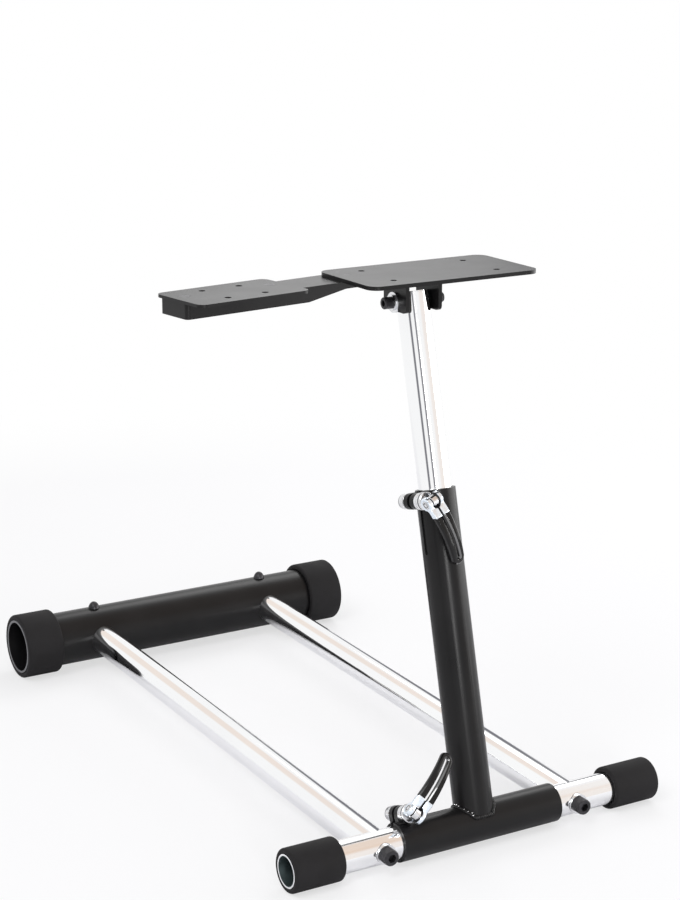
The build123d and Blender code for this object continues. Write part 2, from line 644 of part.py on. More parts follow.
with BuildPart() as pivot_washers:
    with BuildSketch(PIVOT_HEAD):
        Circle(BOLT_HEAD_D / 2 + PIVOT_PLAY)
        Circle(PIVOT_D / 2 + HOLE_PLAY, mode=Mode.SUBTRACT)
    extrude(amount=-PIVOT_WASHER_T)
    with BuildSketch(PIVOT_HEAD.offset(-PIVOT_WASHER_T)):
        Circle(PIVOT_WASHER_D / 2)
        Circle(PIVOT_D / 2 + HOLE_PLAY, mode=Mode.SUBTRACT)
    extrude(amount=-PIVOT_WASHER_T)
    with BuildSketch(PIVOT_END):
        Circle(PIVOT_WASHER_D / 2)
        Circle(PIVOT_D / 2 + HOLE_PLAY, mode=Mode.SUBTRACT)
    extrude(amount=PIVOT_WASHER_T)
save(pivot_washers, "pivot_washers")

lock_nut("pivot_nut", [PIVOT_END.offset(PIVOT_WASHER_T)], PIVOT_NUT_AF, PIVOT_NUT_H, PIVOT_D)

# Shifter arm: a folded channel under the plate's left side, shallow at its root and deeper outwards
ARM_FRONT = Plane(ARM.origin, x_dir=ARM.x_dir, z_dir=-ARM.y_dir)
with BuildPart() as shifter_arm:
    with BuildSketch(ARM):
        with Locations(((ARM_REACH - ARM_UNDER) / 2, ARM_WIDTH / 2)):
            Rectangle(ARM_REACH + ARM_UNDER, ARM_WIDTH)
    extrude(amount=-ARM_DEPTH)
    end_corners = shifter_arm.edges().filter_by(Axis.Z).sort_by(Axis(ARM.origin, ARM.x_dir))[-2:]
    fillet(end_corners, ARM_BEND)
    with BuildSketch(ARM.offset(-ARM_T)):
        with Locations(((ARM_REACH - ARM_UNDER) / 2 - ARM_T, ARM_WIDTH / 2)):
            Rectangle(ARM_REACH + ARM_UNDER, ARM_WIDTH - 2 * ARM_T)
    extrude(amount=-ARM_DEPTH, mode=Mode.SUBTRACT)
    with BuildSketch(ARM_FRONT):
        with BuildLine():
            Polyline(
                (-2 * ARM_UNDER, -ARM_ROOT_DEPTH),
                (0, -ARM_ROOT_DEPTH),
                (ARM_TAPER, -ARM_DEPTH),
                (ARM_TAPER, -2 * ARM_DEPTH),
                (-2 * ARM_UNDER, -2 * ARM_DEPTH),
                close=True,
            )
        make_face()
    extrude(amount=-ARM_WIDTH, mode=Mode.SUBTRACT)
    with BuildSketch(ARM):
        with Locations(*ARM_BOLTS):
            Circle(ARM_BOLT_D / 2 + HOLE_PLAY)
        with Locations(*TRAY_SCREWS):
            Circle(TRAY_SCREW_D / 2 + HOLE_PLAY)
        with Locations(TRAY_MID):
            with PolarLocations(SHIFTER_PCD / 2, 4, start_angle=45):
                Circle(SHIFTER_HOLE_D / 2)
    extrude(amount=-ARM_T, mode=Mode.SUBTRACT)
save(shifter_arm, "shifter_arm")

# Shifter plate: a flat plate on the arm, level with the wheel plate, with the holes for a shifter
TRAY_TOP = ARM.offset(TRAY_T)
with BuildPart() as shifter_plate:
    with BuildSketch(ARM):
        with Locations(TRAY_MID):
            RectangleRounded(TRAY_LENGTH, TRAY_WIDTH, TRAY_CORNER)
            with PolarLocations(SHIFTER_PCD / 2, 4, start_angle=45):
                Circle(SHIFTER_HOLE_D / 2, mode=Mode.SUBTRACT)
    extrude(amount=TRAY_T)
    with Locations(TRAY_TOP):
        with Locations(*TRAY_SCREWS):
            CounterSinkHole(
                TRAY_SCREW_D / 2 + HOLE_PLAY,
                TRAY_SCREW_HEAD_D / 2 + HOLE_PLAY,
                counter_sink_angle=90,
            )
save(shifter_plate, "shifter_plate")

# Low-head bolts that hold the arm up under the wheel plate
with BuildPart() as arm_bolts:
    with BuildSketch(ARM.offset(-ARM_T)):
        with Locations(*ARM_BOLTS):
            Circle(ARM_BOLT_HEAD_D / 2)
    extrude(amount=-ARM_BOLT_HEAD_H)
    lower_rims = arm_bolts.edges().filter_by(GeomType.CIRCLE).group_by(Axis.Z)[0]
    chamfer(lower_rims, ARM_BOLT_EDGE)
    with BuildSketch(ARM.offset(-ARM_T)):
        with Locations(*ARM_BOLTS):
            Circle(ARM_BOLT_D / 2)
    extrude(amount=ARM_T + PLATE_T)
save(arm_bolts, "arm_bolts")

# Flush screws that hold the shifter plate down on the arm, and their nuts under it
with BuildPart() as tray_bolts:
    with BuildSketch(TRAY_TOP):
        with Locations(*TRAY_SCREWS):
            Circle(TRAY_SCREW_D / 2)
    extrude(amount=-(TRAY_T + ARM_T + TRAY_NUT_H + TRAY_SCREW_TAIL))
    with Locations(TRAY_TOP):
        with Locations(*TRAY_SCREWS):
            HEAD_H = (TRAY_SCREW_HEAD_D - TRAY_SCREW_D) / 2
            Cone(
                TRAY_SCREW_D / 2,
                TRAY_SCREW_HEAD_D / 2,
                HEAD_H,
                align=(Align.CENTER, Align.CENTER, Align.MAX),
            )
save(tray_bolts, "tray_bolts")

UNDER_ARM = Plane(ARM.origin, x_dir=ARM.x_dir, z_dir=-ARM.z_dir).offset(ARM_T)
TRAY_NUT_SEATS = [
    Plane(UNDER_ARM.from_local_coords(Vector(x, -y, 0)), x_dir=ARM.x_dir, z_dir=-ARM.z_dir)
    for x, y in TRAY_SCREWS
]
lock_nut("tray_nuts", TRAY_NUT_SEATS, TRAY_NUT_AF, TRAY_NUT_H, TRAY_SCREW_D)
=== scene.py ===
"""Looks of the racing wheel stand: finishes, rounder pieces, weld beads, studio and camera."""
import json
from math import cos, pi, radians, sin, sqrt

import bmesh
import bpy
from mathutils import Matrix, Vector


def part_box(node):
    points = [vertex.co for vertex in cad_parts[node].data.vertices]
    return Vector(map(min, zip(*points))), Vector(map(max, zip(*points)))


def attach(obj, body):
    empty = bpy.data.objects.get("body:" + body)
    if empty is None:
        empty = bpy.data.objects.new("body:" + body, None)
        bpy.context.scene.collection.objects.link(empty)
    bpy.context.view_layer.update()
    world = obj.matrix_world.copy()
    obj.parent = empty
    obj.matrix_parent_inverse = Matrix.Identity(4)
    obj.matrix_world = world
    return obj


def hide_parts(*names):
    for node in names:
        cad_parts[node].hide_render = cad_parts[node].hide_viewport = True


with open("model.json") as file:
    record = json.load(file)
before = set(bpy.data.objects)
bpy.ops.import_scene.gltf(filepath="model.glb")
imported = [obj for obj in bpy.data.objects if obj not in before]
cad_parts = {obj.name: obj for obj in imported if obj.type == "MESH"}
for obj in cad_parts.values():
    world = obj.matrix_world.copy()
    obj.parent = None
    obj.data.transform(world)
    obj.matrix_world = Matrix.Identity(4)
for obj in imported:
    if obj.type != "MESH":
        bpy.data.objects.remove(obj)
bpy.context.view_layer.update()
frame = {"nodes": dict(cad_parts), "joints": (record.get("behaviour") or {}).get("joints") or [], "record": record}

# Lengths are in metres throughout.
# Camera: the lens stands this far from the floor point under the near tube's middle
LENS_FROM_NEAR_TUBE = Vector((-1.129, -1.6395, 0.9421))
LENS_AIM = Vector((0.49193, 0.83180, -0.25713))
LENS_MM = 84.85
SENSOR_MM = 36.0

# Floor: it whitens away from the stand, between two distances
FLOOR_SIDES = 96
FLOOR_RADIUS = 14.0
FLOOR_COLOUR = (0.90, 0.895, 0.92, 1.0)
FLOOR_NEAR_GLOW = 0.62
FLOOR_WHITE = (0.5, 1.6)

# Room: white, with a warm wall, ceiling and far strip that metal mirrors. Each pair is a fade, from
# nothing to full, along one axis of the way looked in.
SKY_LIGHT = 0.62
ROOM_WHITE = (1.0, 1.0, 1.0, 1.0)
ROOM_WARM = (0.81, 0.60, 0.45, 1.0)
ROOM_DARK = (0.20, 0.20, 0.22, 1.0)
USER_SIDE = (0.25, -0.05)
WARM_WALL = 0.30
WALL_ACROSS = (0.1, 0.4)
WALL_TOP = (0.75, 0.55)
WARM_CEILING = 0.70
CEILING_ACROSS = ((0.60, 0.48), (0.0, 0.3))
CEILING_RISE = (0.35, 0.72)
WARM_STRIP = 0.45
STRIP_DEPTH = (0.4, 0.6)
STRIP_RISE = (0.35, 0.5)
STRIP_ACROSS = ((0.2, 0.06), (-0.32, -0.2))

# Dark uprights in the room: the level way to each and its half width, with soft sides and tops
UPRIGHTS = (
    (Vector((-0.54, -0.842, 0.0)), radians(4.0)),
    (Vector((-0.92, -0.392, 0.0)), radians(6.0)),
    (Vector((0.63, 0.777, 0.0)), radians(3.0)),
)
UPRIGHT_SIDES = (1.5, 0.5)
UPRIGHT_TOP = (0.55, 0.35)

# Lamps: place, the point faced, width, height and watts
LAMPS = {
    "key_softbox": ((-1.8, -1.2, 2.6), (0.0, 0.0, 0.3), 1.4, 1.4, 30),
    "front_strip": ((-0.80, -3.05, 0.72), (0.03, -0.3, 0.3), 0.42, 0.8, 24),
    "right_panel": ((2.1, -0.85, 0.46), (0.0, -0.25, 0.3), 2.4, 0.9, 22),
    "top_panel": ((1.3, 1.3, 1.75), (0.0, -0.3, 0.2), 1.5, 0.9, 13),
}

# Picking: a face's normal or an edge lies along an axis past the first share of it, and across the axis
# below the second
ALONG_AXIS = 0.99
ACROSS_AXIS = 0.1

# Tubes: the axis of each chrome tube, the near tube's bore, painted dark as shade, with its soft edge, and the far
# tube's greyer cut ends, partly a thin coat and partly a painted highlight on the rim
TUBE_AXES = {
    "near_cross_tube": (1, 0, 0),
    "long_tube_left": (0, 1, 0),
    "long_tube_right": (0, 1, 0),
    "upper_tube": (0, 0, 1),
}
TUBE_BORE = 0.0151
BORE_EDGE = 0.0004
CUT_FADE = (0.0008, 0.0002)

# Rubber feet: play on the tube, and the rounding of the rims and mouths
FOOT_SIDES = 128
FOOT_FIT = 0.0001
FOOT_ROUND = 0.0028
FOOT_ROUND_STEPS = 6
FOOT_MOUTH_ROUND = 0.0018
FOOT_MOUTH_STEPS = 4
FOOT_RING_WITHIN = 0.0004
FOOT_SMOOTH = radians(35)

# Copies of nodes: which points are one, which faces are one, which edges are rounded and which stay sharp
DOUBLES_WITHIN = 0.00001
FLAT_WITHIN = radians(0.5)
ROUNDED_PAST = radians(28)
COPY_SMOOTH = radians(32)
FORK_ROUND = 0.0003
FORK_ROUND_STEPS = 2
GRIP_ROUND = 0.0006
GRIP_ROUND_STEPS = 3

# Clamps: the outer face, half length and inner edge of a lug, the upper clamp's turn round the mast,
# the lower one's lean, how far the skewer lies off its tube, and how far the cross barrel lies from the slit
LUG_FACE = 0.0085
LUG_HALF_LENGTH = 0.00825
LUG_INNER = 0.0028
UPPER_TURN = radians(5.0)
LOWER_LEAN = radians(21.7)
SKEWER_OUT = 0.007
BARREL_FROM_SLIT = 0.0298

# Painted shade: dark lines at the seams between the rings on a skewer, from the slit, and a dark foot painted
# round a near washer on its tube
SEAT_SEAM_SHADES = (-0.0103, 0.0085, 0.0140, 0.0177)
SEAM_SHADE_WIDTH = 0.0007
WASHER_FOOT_SHADE = (0.0004, 0.0008)

# Levers: the fork's gap, whose walls are painted dark as shade, and the grip's slot, whose rounded edges are
# bright
FORK_GAP = 0.0106
HOLLOW_EDGE = 0.0002
HOLLOW_FACING = 0.25
SLOT_EDGE = 0.0050
RAIL_FACING = (0.3, 0.95)

# Cross barrels' ends: a rim, a groove and a button
BARREL_SIDES = 40
BARREL_RADIUS = 0.0043
BARREL_END = 0.0089
BARREL_PROUD = 0.0005
BARREL_SMOOTH = radians(40)
RIM_EASE = 0.0003
RIM_RISE = 0.0002
RIM_WIDTH = 0.0011
GROOVE_DEPTH = 0.0006
GROOVE_WIDTH = 0.0009
GROOVE_BELOW = 0.00015
GROOVE_REACH = (0.0013, 0.0031)
BUTTON_RISE = 0.0005

# Round lock nuts, which stand on the washer's face, with a chamfer painted dark as shade
NUT_SIDES = 48
NUT_RADIUS = 0.0078
NUT_LENGTH = 0.0085
NUT_CHAMFER = 0.0024
NUT_CHAMFER_STEPS = 3
NUT_BORE = 0.0033
NUT_SMOOTH = radians(25)
NUT_RIM_FACING = (0.1, 0.99)
WASHER_FACE = 0.0103

# Weld beads: the length of a ripple, the points along it, how far it thins behind its front, and the size
# and pace of the sways between ripples
RIPPLE_LENGTH = 0.0023
RIPPLE_STEPS = 5
RIPPLE_DEPTH = 0.20
RIPPLE_SWAYS = ((0.09, 2.1), (0.06, 5.3))
LUG_WELD = 0.0011
LUG_STEPS = 24

# Mast's foot: its square cut above the sleeve's middle, the bead round it, and how far the bead draws in
# at the cut
MAST_CUT = 0.0090
MAST_WELD = 0.0023
MAST_WELD_STEPS = 1440
MAST_WELD_LIFT = 0.15
MAST_WELD_DRAW = 0.07

# Bare weld specks: degrees round the mast, lift along it and size
SPECKS = (
    (-179, 0.0016, 0.0009),
    (-171, 0.0018, 0.0012),
    (-164, 0.0014, 0.0009),
    (-148, 0.0010, 0.0007),
    (-138, 0.0012, 0.0008),
    (-128, 0.0024, 0.0008),
    (-126, 0.0003, 0.0010),
)
SPECK_SIDES = 14
SPECK_RINGS = 8
SPECK_SHAPE = (1.0, 0.8, 0.7)
SPECK_LIFT = 0.9

# Socket heads, and the knurled rings round the near ones
HEAD_RADIUS = 0.008
HEAD_HEIGHT = 0.010
KNURL_TEETH = 44
KNURL_DEPTH = 0.00032
KNURL_BORE = 0.0064
KNURL_START = 0.0007
KNURL_END = 0.0083

# Heads drawn to another size: the pivot bolt's and the far bolts' domes, which reach a little into the tube
PIVOT_HEAD_SHARE = (0.85, 0.76, 0.76)
PIVOT_SEAT_PLAY = 0.00001
DOME_SHARE = (1.08, 1.08, 1.6)
DOME_SINK = 0.0009


def node_middle(name):
    """Give the middle of a node's box."""
    low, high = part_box(name)
    return (low + high) / 2


def half_size(name):
    """Give half the size of a node's box."""
    low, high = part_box(name)
    return (high - low) / 2


def joint_named(name):
    """Find a joint of the stand."""
    return next(joint for joint in frame["joints"] if joint["name"] == name)


class Clamp:
    """Where a quick-release clamp sits: its tube, skewer and cross barrel, and the ways out and along."""

    def __init__(self, tube_radius, out, skewer, lever):
        swing = joint_named(lever + "_swing")
        self.body = lever
        self.out = out
        self.skewer = skewer
        self.along = skewer.cross(out)
        self.barrel = Vector(swing["pos_m"])
        self.barrel_axis = Vector(swing["axis"])
        self.tube_radius = tube_radius
        self.middle = self.barrel - skewer * BARREL_FROM_SLIT
        self.tube_axis = self.middle - out * (tube_radius + SKEWER_OUT)


ACROSS = Vector((1, 0, 0))
UP = Vector((0, 0, 1))
MAST_UP = Vector(joint_named("height_slide")["axis"])
MAST_FACING = MAST_UP.cross(ACROSS)
MAST_FOOT = Vector(joint_named("mast_tilt")["pos_m"])
MAST_RADIUS = half_size("mast_tube").x
SLEEVE_RADIUS = half_size("mast_sleeve").z
CLAMPS = {
    "lower": Clamp(
        SLEEVE_RADIUS,
        Vector((0, sin(LOWER_LEAN), cos(LOWER_LEAN))),
        Vector((0, -cos(LOWER_LEAN), sin(LOWER_LEAN))),
        "lower_lever",
    ),
    "upper": Clamp(
        MAST_RADIUS,
        -ACROSS * cos(UPPER_TURN) - MAST_FACING * sin(UPPER_TURN),
        ACROSS * sin(UPPER_TURN) - MAST_FACING * cos(UPPER_TURN),
        "upper_lever",
    ),
}


class Tree:
    """Short helpers for a node tree."""

    def __init__(self, tree):
        self.tree = tree

    def add(self, kind, **settings):
        """Add a node and set its properties."""
        node = self.tree.nodes.new(kind)
        for key, value in settings.items():
            setattr(node, key, value)
        return node

    def link(self, source, target):
        """Join an output to an input."""
        self.tree.links.new(source, target)

    def feed(self, socket, value):
        """Give a socket a constant or another node's output."""
        if isinstance(value, bpy.types.NodeSocket):
            self.link(value, socket)
        else:
            socket.default_value = value

    def math(self, operation, *values):
        """Work out a number."""
        node = self.add("ShaderNodeMath", operation=operation)
        for socket, value in zip(node.inputs, values):
            self.feed(socket, value)
        return node.outputs[0]

    def product(self, first, *others):
        """Multiply several numbers."""
        for other in others:
            first = self.math("MULTIPLY", first, other)
        return first

    def vector(self, operation, *values):
        """Work out a vector, or a number from vectors."""
        node = self.add("ShaderNodeVectorMath", operation=operation)
        for socket, value in zip(node.inputs, values):
            self.feed(socket, value)
        return node.outputs["Value" if operation in ("DOT_PRODUCT", "LENGTH") else "Vector"]

    def fade(self, value, start, end):
        """Run smoothly from 0 to 1 between two limits."""
        node = self.add("ShaderNodeMapRange", interpolation_type="SMOOTHSTEP")
        self.feed(node.inputs["Value"], value)
        self.feed(node.inputs["From Min"], start)
        self.feed(node.inputs["From Max"], end)
        return node.outputs["Result"]

    def blend(self, factor, first, second):
        """Mix two colours."""
        node = self.add("ShaderNodeMix", data_type="RGBA")
        self.feed(node.inputs["Factor"], factor)
        self.feed(node.inputs[6], first)
        self.feed(node.inputs[7], second)
        return node.outputs[2]

    def looked_at(self, path):
        """Give 1 to rays from the camera, straight, mirrored or let through, and 0 to the others."""
        seen = self.math("MAXIMUM", path.outputs["Is Camera Ray"], path.outputs["Is Glossy Ray"])
        return self.math("MAXIMUM", seen, path.outputs["Is Transmission Ray"])


class Finish(Tree):
    """A material with a principled shader, and helpers for its patterns."""

    def __init__(self, name):
        self.material = bpy.data.materials.new(name)
        self.material.use_nodes = True
        super().__init__(self.material.node_tree)
        self.shader = self.tree.nodes["Principled BSDF"]
        self.coords = self.add("ShaderNodeTexCoord").outputs["Object"]
        self.normal = None

    def set(self, **values):
        """Set constants on the shader's own sockets."""
        for key, value in values.items():
            self.shader.inputs[key].default_value = value

    def noise(self, scale, detail=3.0, roughness=0.5, stretch=(1, 1, 1)):
        """Give a noise pattern of a scale per metre, which may be stretched along an axis."""
        mapping = self.add("ShaderNodeMapping")
        mapping.inputs["Scale"].default_value = stretch
        self.link(self.coords, mapping.inputs["Vector"])
        texture = self.add("ShaderNodeTexNoise")
        texture.inputs["Scale"].default_value = scale
        texture.inputs["Detail"].default_value = detail
        texture.inputs["Roughness"].default_value = roughness
        self.link(mapping.outputs["Vector"], texture.inputs["Vector"])
        return texture.outputs["Fac"]

    def spread(self, source, low, high, start=0.3, end=0.7):
        """Map a pattern's middle range onto low to high."""
        span = self.add("ShaderNodeMapRange")
        for name, value in (("From Min", start), ("From Max", end), ("To Min", low), ("To Max", high)):
            span.inputs[name].default_value = value
        self.link(source, span.inputs["Value"])
        return span.outputs["Result"]

    def tones(self, factor, first, second):
        """Mix two plain colours by a pattern."""
        return self.blend(factor, (*first, 1.0), (*second, 1.0))

    def reach(self, middle, axes):
        """Measure the distance from a point along the axes that are given."""
        offset = self.vector("SUBTRACT", self.coords, middle)
        return self.vector("LENGTH", self.vector("MULTIPLY", offset, axes))

    def along(self, middle, direction):
        """Measure how far a point lies along a direction."""
        return self.vector("DOT_PRODUCT", self.vector("SUBTRACT", self.coords, middle), direction)

    def colour(self, source):
        """Take the base colour from a pattern."""
        self.link(source, self.shader.inputs["Base Color"])

    def rough(self, source):
        """Take the roughness from a pattern."""
        self.link(source, self.shader.inputs["Roughness"])

    def relief(self, height, distance, strength=1.0):
        """Add a bump of a height in metres on top of any before it."""
        bump = self.add("ShaderNodeBump")
        bump.inputs["Strength"].default_value = strength
        bump.inputs["Distance"].default_value = distance
        self.link(height, bump.inputs["Height"])
        if self.normal:
            self.link(self.normal, bump.inputs["Normal"])
        self.normal = bump.outputs["Normal"]
        self.link(self.normal, self.shader.inputs["Normal"])


def chrome_tube(name, along, bore=None):
    """Mirror plate with faint polishing rings and a few soft smears; a bore is left as dull drawn steel, painted
    darker still as the shade inside the tube.
    """
    finish = Finish(name)
    finish.set(Metallic=1.0)
    rings = finish.noise(140, 2, stretch=[6.0 if axis else 0.5 for axis in along])
    smears = finish.noise(9, 3)
    plate = finish.tones(finish.spread(smears, 0, 1), (0.905, 0.91, 0.92), (0.945, 0.95, 0.955))
    polish = finish.spread(rings, 0.035, 0.085)
    if bore:
        middle, radius = bore
        away = [0.0 if axis else 1.0 for axis in along]
        inside = finish.spread(finish.reach(middle, away), 1, 0, radius, radius + BORE_EDGE)
        # Painted shade: the bore's dull steel is drawn far darker than bare steel, as the shade inside the tube.
        bore_steel_and_shade = finish.tones(smears, (0.10, 0.135, 0.14), (0.15, 0.19, 0.195))
        plate = finish.blend(inside, plate, bore_steel_and_shade)
        polish = finish.spread(inside, 0.10, 0.55, 0, 1)
    finish.colour(plate)
    finish.rough(polish)
    finish.relief(rings, 0.000012)
    return finish.material


def black_coat(name="black_coat", ends=None):
    """Satin powder coat with fine orange peel, greyer on the cut ends of an open tube: partly a thin coat, partly
    a painted highlight on the rim.
    """
    finish = Finish(name)
    finish.set(IOR=1.30)
    peel = finish.noise(620, 2)
    cloud = finish.noise(14, 3)
    coat = finish.tones(finish.spread(cloud, 0, 1), (0.0055, 0.0053, 0.0058), (0.0095, 0.0090, 0.0094))
    if ends:
        middle, reach = ends
        # Painted highlight: the grey on the cut ends stands partly for a thin coat and partly for light caught on
        # the rim.
        cut = finish.spread(finish.reach(middle, ACROSS), 0, 1, *(reach - depth for depth in CUT_FADE))
        thin_coat_and_highlight = finish.tones(cloud, (0.10, 0.10, 0.108), (0.17, 0.17, 0.18))
        coat = finish.blend(cut, coat, thin_coat_and_highlight)
    finish.colour(coat)
    finish.rough(finish.spread(cloud, 0.27, 0.34))
    finish.relief(peel, 0.00006, 0.35)
    return finish.material


def weld_coat():
    """Powder coat over a weld, satin and grainy."""
    finish = Finish("weld_coat")
    finish.set(IOR=1.31)
    grain = finish.noise(900, 2)
    finish.colour(finish.tones(finish.spread(grain, 0, 1), (0.006, 0.006, 0.0065), (0.012, 0.0115, 0.012)))
    finish.rough(finish.spread(grain, 0.24, 0.36))
    finish.relief(grain, 0.0001, 0.5)
    return finish.material


def foot_rubber():
    """Matt moulded rubber with fine grain and a little dust."""
    finish = Finish("foot_rubber")
    finish.set(IOR=1.27)
    grain = finish.noise(1500, 3)
    dust = finish.noise(38, 5, 0.65)
    dusty = finish.spread(dust, 0, 1, 0.35, 0.8)
    finish.colour(finish.tones(dusty, (0.0105, 0.0098, 0.0105), (0.019, 0.0182, 0.0195)))
    finish.rough(finish.spread(dust, 0.62, 0.80))
    finish.relief(grain, 0.00012, 0.4)
    return finish.material


def black_steel():
    """Black oxide on steel screws, with a slight blue sheen."""
    finish = Finish("black_steel")
    finish.set(Metallic=0.55)
    bloom = finish.noise(160, 4)
    finish.colour(finish.tones(finish.spread(bloom, 0, 1), (0.022, 0.022, 0.025), (0.045, 0.043, 0.048)))
    finish.rough(finish.spread(bloom, 0.30, 0.46))
    finish.relief(finish.noise(900, 2), 0.00003, 0.4)
    return finish.material


def bright_zinc(name="bright_zinc", clamp=None, rim=None):
    """Bright zinc plate, a little cloudy, with painted shade in a clamp's seams and at a washer's foot."""
    finish = Finish(name)
    finish.set(Metallic=1.0)
    cloud = finish.noise(210, 3)
    plate = finish.tones(finish.spread(cloud, 0, 1), (0.70, 0.70, 0.71), (0.80, 0.81, 0.83))
    if clamp:
        along = finish.along(clamp.middle, clamp.skewer)
        # Painted shade: a dark line where one ring meets the next.
        for seam in SEAT_SEAM_SHADES:
            band = finish.math("COMPARE", along, seam, SEAM_SHADE_WIDTH)
            shade = finish.tones(cloud, (0.015, 0.015, 0.018), (0.03, 0.03, 0.035))
            plate = finish.blend(band, plate, shade)
    if rim:
        middle, radius = rim
        # Painted shade: a dark band round the washer's foot, where it meets the tube.
        away = finish.reach(middle, (0, 1, 1))
        foot = finish.spread(away, 1, 0, *(radius + edge for edge in WASHER_FOOT_SHADE))
        shade = finish.tones(cloud, (0.02, 0.02, 0.024), (0.05, 0.05, 0.055))
        plate = finish.blend(foot, plate, shade)
    finish.colour(plate)
    finish.rough(finish.spread(cloud, 0.14, 0.26))
    return finish.material


def painted_hollow_shade():
    """Painted shade: dark, dull metal put in the forks' hollows and barrels' grooves and on the lock nuts'
    chamfers.
    """
    finish = Finish("painted_hollow_shade")
    finish.set(Metallic=0.6)
    grain = finish.noise(700, 3)
    finish.colour(finish.tones(finish.spread(grain, 0, 1), (0.012, 0.012, 0.014), (0.035, 0.035, 0.04)))
    finish.rough(finish.spread(grain, 0.45, 0.65))
    finish.relief(grain, 0.0001, 0.5)
    return finish.material


def rail_gloss():
    """The dip coating where it is drawn thin and bright along the rails of a grip."""
    finish = Finish("rail_gloss")
    finish.set(IOR=2.6)
    wave = finish.noise(190, 3)
    finish.colour(finish.tones(finish.spread(wave, 0, 1), (0.006, 0.006, 0.007), (0.012, 0.012, 0.013)))
    finish.rough(finish.spread(wave, 0.06, 0.22))
    finish.relief(wave, 0.0002, 0.5)
    return finish.material


def lever_chrome():
    """Chrome on a small casting, softly polished and slightly wavy."""
    finish = Finish("lever_chrome")
    finish.set(Metallic=1.0)
    wave = finish.noise(170, 2)
    # Painted reflection: the blue tint cancels the warm room that the fork's faces mirror.
    finish.colour(finish.tones(finish.spread(wave, 0, 1), (0.80, 0.87, 0.95), (0.85, 0.92, 0.99)))
    finish.rough(finish.spread(wave, 0.20, 0.32))
    finish.relief(wave, 0.0001, 0.5)
    return finish.material


def dipped_grip():
    """Glossy black dip coating, thick and slightly wavy."""
    finish = Finish("dipped_grip")
    finish.set(IOR=1.34)
    wave = finish.noise(120, 2)
    finish.colour(finish.tones(finish.spread(wave, 0, 1), (0.004, 0.0038, 0.004), (0.007, 0.0066, 0.007)))
    finish.rough(finish.spread(wave, 0.10, 0.19))
    finish.relief(wave, 0.0002, 0.6)
    return finish.material


FINISHES = {
    "black_coat": black_coat(),
    "foot_rubber": foot_rubber(),
    "black_steel": black_steel(),
    "bright_zinc": bright_zinc(),
    "lever_chrome": lever_chrome(),
    "dipped_grip": dipped_grip(),
    "weld_coat": weld_coat(),
    "painted_hollow_shade": painted_hollow_shade(),
    "rail_gloss": rail_gloss(),
}


def node_finish(node, slot):
    """Choose a node's finish: its own where it depends on the node's place, or its slot's."""
    if node == "near_cross_tube":
        return chrome_tube("chrome_" + node, TUBE_AXES[node], (node_middle(node), TUBE_BORE))
    if slot == "chrome_tube":
        return chrome_tube("chrome_" + node, TUBE_AXES[node])
    if node == "far_cross_tube":
        return black_coat("black_" + node, (node_middle(node), half_size(node).x))
    if node.startswith("near_washer"):
        tube = "near_cross_tube"
        return bright_zinc("zinc_" + node, rim=(node_middle(tube), half_size(tube).z))
    if node.endswith("clamp_washers"):
        return bright_zinc("zinc_" + node, CLAMPS[node.split("_")[0]])
    return FINISHES[slot]


for row in frame["record"]["subparts"]:
    mesh = frame["nodes"][row["node"]].data
    mesh.materials.clear()
    mesh.materials.append(node_finish(row["node"], row["material_slot"]))


def deselect_all():
    """Leave edit mode and clear the selection, so that an operator acts on new geometry alone."""
    if bpy.context.object and bpy.context.object.mode != "OBJECT":
        bpy.ops.object.mode_set(mode="OBJECT")
    bpy.ops.object.select_all(action="DESELECT")


def pick_alone(piece):
    """Leave edit mode with one piece selected and active."""
    deselect_all()
    bpy.context.view_layer.objects.active = piece
    piece.select_set(True)


def open_piece(piece):
    """Open one piece in edit mode with nothing picked."""
    pick_alone(piece)
    bpy.ops.object.mode_set(mode="EDIT")
    bpy.ops.mesh.select_all(action="DESELECT")


def pick_faces(piece, wanted):
    """Pick the faces of the open piece whose middle and normal pass a test."""
    bpy.ops.mesh.select_all(action="DESELECT")
    bpy.ops.mesh.select_mode(type="FACE")
    shape = bmesh.from_edit_mesh(piece.data)
    for face in shape.faces:
        face.select_set(wanted(face.calc_center_median(), face.normal))
    bmesh.update_edit_mesh(piece.data)


def pick_edges(piece, wanted):
    """Pick the edges of the open piece whose middle and direction pass a test."""
    bpy.ops.mesh.select_all(action="DESELECT")
    bpy.ops.mesh.select_mode(type="EDGE")
    shape = bmesh.from_edit_mesh(piece.data)
    for edge in shape.edges:
        first, second = (vertex.co for vertex in edge.verts)
        edge.select_set(wanted((first + second) / 2, (second - first).normalized()))
    bmesh.update_edit_mesh(piece.data)


def face_outwards():
    """Turn every face of the open piece outwards."""
    bpy.ops.mesh.select_all(action="SELECT")
    bpy.ops.mesh.normals_make_consistent(inside=False)


def stand_at(piece, place, way):
    """Turn a piece that was made upright to a way, move it to a place, and keep both in its mesh."""
    piece.location = place
    piece.rotation_euler = UP.rotation_difference(way).to_euler()
    bpy.ops.object.transform_apply(location=True, rotation=True, scale=True)


def settle(piece, name, slot, body, material=None):
    """Name a finished piece, give it its finish and let it ride on its body."""
    pick_alone(piece)
    piece.name = name
    piece.data.name = name
    piece.data.materials.clear()
    piece.data.materials.append(material or FINISHES[slot])
    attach(piece, body)


def second_finish(piece, material, wanted):
    """Give the faces that pass a test of middle and normal a second finish."""
    piece.data.materials.append(material)
    for face in piece.data.polygons:
        if wanted(face.center, face.normal):
            face.material_index = 1


